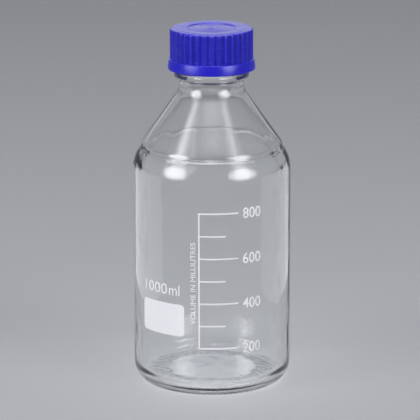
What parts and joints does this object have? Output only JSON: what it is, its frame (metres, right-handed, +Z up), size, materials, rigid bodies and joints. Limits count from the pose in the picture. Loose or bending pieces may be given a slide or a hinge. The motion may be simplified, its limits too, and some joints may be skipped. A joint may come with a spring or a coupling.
{
  "type": "round media bottle",
  "caption": "Round clear glass media bottle with a sloped shoulder, a threaded neck, a pouring ring and a fluted blue screw cap.",
  "frame": {"origin": "on the bottle's axis, in the plane it stands on", "axes": "+Z up along the axis of the bottle, neck, thread and cap; -Y is the printed front"},
  "size_m": [0.101, 0.1011, 0.2299],
  "materials": {
    "clear_glass": "clear moulded borosilicate glass, fire-polished, slightly uneven inside",
    "blue_plastic": "injection-moulded polypropylene, satin",
    "white_rubber": "matt silicone",
    "white_enamel": "fired white enamel print"
  },
  "bodies": {
    "bottle": {"glass_bottle": "clear_glass", "pouring_ring": "blue_plastic", "graduation_scale": "white_enamel", "writing_field": "white_enamel"},
    "seal": {"sealing_disc": "white_rubber"},
    "cap": {"screw_cap": "blue_plastic"}
  },
  "joints": [
    {"name": "seal_rise", "type": "slide", "parent": "bottle", "child": "seal", "axis": [0, 0, 1], "range_m": [0, 0.0281]},
    {"name": "cap_turn", "type": "hinge", "parent": "seal", "child": "cap", "pos_m": [0, 0, 0.2175], "axis": [0, 0, 1], "range_deg": [0, 2520]}
  ],
  "couplings": [
    {"joint": "seal_rise", "follows": "cap_turn", "m_per_rad": 0.00063662}
  ]
}
